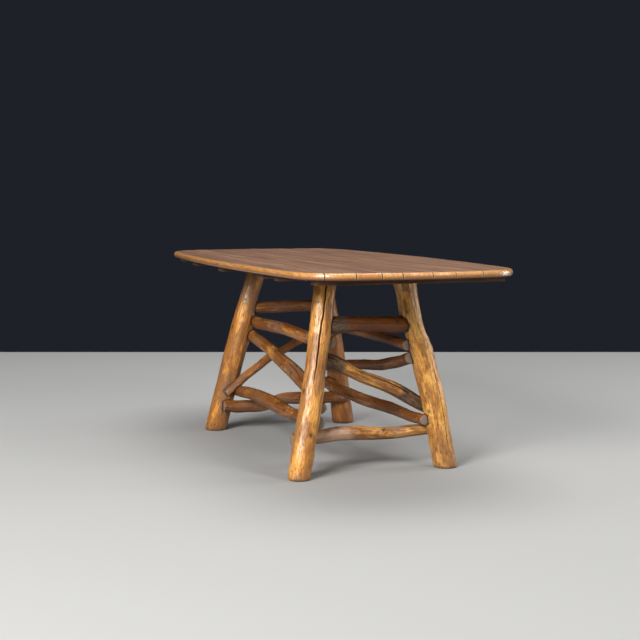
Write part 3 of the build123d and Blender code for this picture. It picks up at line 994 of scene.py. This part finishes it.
# ---------------------------------------------------------------- screws and nails
# Slotted round-head steel screws come up through the battens, one into each board, and one wire
# nail holds each lapped end of a branch against its leg. Both are dulled and a little rusty.
SCREWS = {"Head Radius": 0.0046, "Head Height": 0.0028, "Slotted": True, "Seed": 4}
NAILS = {"Head Radius": 0.0037, "Head Height": 0.0011, "Slotted": False, "Seed": 2}
SCREW_PLAY = 0.004
SCREW_END_ROOM = 0.014  # kept between a screw and the end of its batten
SCREW_LEG_ROOM = 0.012
SLOT_LENGTH, SLOT_WIDTH = 2.4, 0.26  # as shares of the head's radius
NAIL_BACK = 0.012  # from the middle of the leg towards the middle of the branch
LAP_LEAST, LAP_MOST = 0.03, 0.075  # between the middle lines of a branch and its leg
LAP_STEPS = 300
HEAD_SEGMENTS, HEAD_RINGS = 20, 10
RUST_SPOTS = (420, 420, 420)
STEEL_RELIEF = 0.0002
STEEL_COLOUR = (0.42, 0.41, 0.40, 1)
STEEL_RUST = (0.17, 0.075, 0.035, 1)


def make_old_steel():
    """Dull steel with a little rust in its grain."""
    material, output = empty_material("old_steel")
    tree = material.node_tree
    place = add_node(tree, "ShaderNodeTexCoord").outputs["Object"]
    spots = stretched_noise(tree, place, RUST_SPOTS, 4, 0.6)
    rust = ramp(tree, spots, 0.40, 0.58)
    relief = add_node(tree, "ShaderNodeBump", {"Height": spots, "Distance": STEEL_RELIEF})
    surface = add_node(
        tree,
        "ShaderNodeBsdfPrincipled",
        {
            "Base Color": blend(tree, rust, STEEL_COLOUR, STEEL_RUST),
            "Metallic": ramp(tree, spots, 0.58, 0.40),
            "Roughness": ramp(tree, spots, 0.3, 0.7, 0.32, 0.7),
            "Normal": relief.outputs[0],
        },
    )
    tree.links.new(surface.outputs[0], output.inputs["Surface"])
    return material


def make_head_tree():
    """Stands a domed head on every point, faced the way of the point and spun at random."""
    tree = bpy.data.node_groups.new("fastener_heads", "GeometryNodeTree")
    for title, kind in (
        ("Points", "Geometry"), ("Head Radius", "Float"), ("Head Height", "Float"),
        ("Slotted", "Bool"), ("Seed", "Int"), ("Finish", "Material"),
    ):
        tree.interface.new_socket(title, in_out="INPUT", socket_type="NodeSocket" + kind)
    tree.interface.new_socket("Heads", in_out="OUTPUT", socket_type="NodeSocketGeometry")
    given = tree.nodes.new("NodeGroupInput").outputs
    result = tree.nodes.new("NodeGroupOutput")
    radius, height = given["Head Radius"], given["Head Height"]
    size = add_node(tree, "ShaderNodeCombineXYZ", {0: radius, 1: radius, 2: height})
    ball = add_node(
        tree,
        "GeometryNodeMeshUVSphere",
        {"Segments": HEAD_SEGMENTS, "Rings": HEAD_RINGS, "Radius": 1.0},
    )
    dome = add_node(
        tree,
        "GeometryNodeTransform",
        {"Geometry": ball.outputs["Mesh"], "Scale": size.outputs[0]},
    )
    slot_size = add_node(
        tree,
        "ShaderNodeCombineXYZ",
        {
            0: times(tree, radius, SLOT_LENGTH),
            1: times(tree, radius, SLOT_WIDTH),
            2: height,
        },
    )
    cutter = add_node(tree, "GeometryNodeMeshCube", {"Size": slot_size.outputs[0]})
    raised = add_node(tree, "ShaderNodeCombineXYZ", {2: height})
    cutter = add_node(
        tree,
        "GeometryNodeTransform",
        {"Geometry": cutter.outputs["Mesh"], "Translation": raised.outputs[0]},
    )
    slotted = add_node(
        tree,
        "GeometryNodeMeshBoolean",
        {"Mesh 1": dome.outputs[0], "Mesh 2": cutter.outputs[0]},
        operation="DIFFERENCE",
    )
    head = add_node(tree, "GeometryNodeSwitch", input_type="GEOMETRY")
    tree.links.new(given["Slotted"], head.inputs["Switch"])
    tree.links.new(dome.outputs[0], head.inputs["False"])
    tree.links.new(slotted.outputs["Mesh"], head.inputs["True"])
    facing = add_node(
        tree,
        "GeometryNodeInputNamedAttribute",
        {"Name": "facing"},
        data_type="FLOAT_VECTOR",
    )
    upright = add_node(tree, "FunctionNodeAlignRotationToVector", axis="Z")
    tree.links.new(facing.outputs["Attribute"], upright.inputs["Vector"])
    spin = add_node(tree, "FunctionNodeRandomValue", data_type="FLOAT")
    floats = [socket for socket in spin.inputs if socket.type == "VALUE" and socket.enabled]
    floats[0].default_value, floats[1].default_value = 0.0, math.pi
    tree.links.new(given["Seed"], spin.inputs["Seed"])
    turned = [socket for socket in spin.outputs if socket.type == "VALUE" and socket.enabled][0]
    spin_angles = add_node(tree, "ShaderNodeCombineXYZ", {2: turned})
    as_turn = add_node(tree, "FunctionNodeEulerToRotation", {0: spin_angles.outputs[0]})
    rotation = add_node(tree, "FunctionNodeRotateRotation", rotation_space="LOCAL")
    tree.links.new(upright.outputs[0], rotation.inputs[0])
    tree.links.new(as_turn.outputs[0], rotation.inputs[1])
    placed = add_node(
        tree,
        "GeometryNodeInstanceOnPoints",
        {
            "Points": given["Points"],
            "Instance": head.outputs[0],
            "Rotation": rotation.outputs[0],
        },
    )
    real = add_node(tree, "GeometryNodeRealizeInstances", {0: placed.outputs[0]})
    finish = add_node(
        tree, "GeometryNodeSetMaterial", {"Geometry": real.outputs[0], "Material": given["Finish"]}
    )
    tree.links.new(finish.outputs[0], result.inputs["Heads"])
    return tree


def make_heads(name, places, settings):
    """One mesh of all the heads of a kind, at points that each have a way to face."""
    holder_mesh = bpy.data.meshes.new(name + "_points")
    holder_mesh.from_pydata([place for place, _ in places], [], [])
    give_values(holder_mesh, facing=[tuple(facing) for _, facing in places])
    holder = bpy.data.objects.new(name + "_points", holder_mesh)
    bpy.context.collection.objects.link(holder)
    modifier = holder.modifiers.new("heads", "NODES")
    modifier.node_group = head_tree
    for item in head_tree.interface.items_tree:
        if item.in_out == "INPUT" and item.name in settings:
            modifier[item.identifier] = settings[item.name]
    seen = holder.evaluated_get(bpy.context.evaluated_depsgraph_get())
    mesh = bpy.data.meshes.new_from_object(seen)
    bpy.data.objects.remove(holder)
    mesh.name = name
    mesh.shade_smooth()
    mesh.set_sharp_from_angle(angle=SHARP_ANGLE)
    new_piece(name, mesh, settings["Finish"], "steel_fasteners")


def screw_places(draw):
    """Under each batten, one place for each board, but none where a leg stands."""
    places = []
    for number in range(1, BATTEN_COUNT + 1):
        low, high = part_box(f"batten_{number}")
        others = neighbours_tree(f"batten_{number}")
        for board in range(1, BOARD_COUNT + 1):
            front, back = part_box(f"board_{board}")
            y = (front.y + back.y) / 2 + draw.uniform(-SCREW_PLAY, SCREW_PLAY)
            x = (low.x + high.x) / 2 + draw.uniform(-SCREW_PLAY, SCREW_PLAY)
            if not low.y + SCREW_END_ROOM < y < high.y - SCREW_END_ROOM:
                continue
            place = Vector((x, y, low.z))
            if others.find_nearest(place, SCREW_LEG_ROOM)[0] is None:
                places.append((place, Vector((0, 0, -1))))
    return places


def nail_places():
    """On each lapped end of a branch, on the side away from the leg."""
    places = []
    for node in BRANCHES:
        piece, line = poles[node]
        points = [vertex.co for vertex in piece.data.vertices]
        faces = [list(face.vertices) for face in piece.data.polygons]
        tree = BVHTree.FromPolygons(points, faces)
        travel = np.linspace(line.stops[0], line.stops[-1], LAP_STEPS)
        own = line.at(travel)
        for leg in LEGS:
            leg_line = poles[leg][1]
            leg_travel = np.linspace(leg_line.stops[0], leg_line.stops[-1], LAP_STEPS)
            leg_points = leg_line.at(leg_travel)
            gaps = np.linalg.norm(own[:, None] - leg_points[None], axis=2)
            i, j = np.unravel_index(gaps.argmin(), gaps.shape)
            if not LAP_LEAST < gaps[i, j] < LAP_MOST:
                continue
            way = Vector(own[i] - leg_points[j])
            along = Vector(line.along)
            way = (way - along * way.dot(along)).normalized()
            back = math.copysign(NAIL_BACK, -travel[i])
            start = Vector(own[i]) + along * back + way * LAP_MOST
            place, facing, _, _ = tree.ray_cast(start, -way)
            if place is not None:
                places.append((place, facing))
    return places


old_steel = make_old_steel()
head_tree = make_head_tree()
make_heads("batten_screws", screw_places(random.Random(8)), SCREWS | {"Finish": old_steel})
make_heads("branch_nails", nail_places(), NAILS | {"Finish": old_steel})
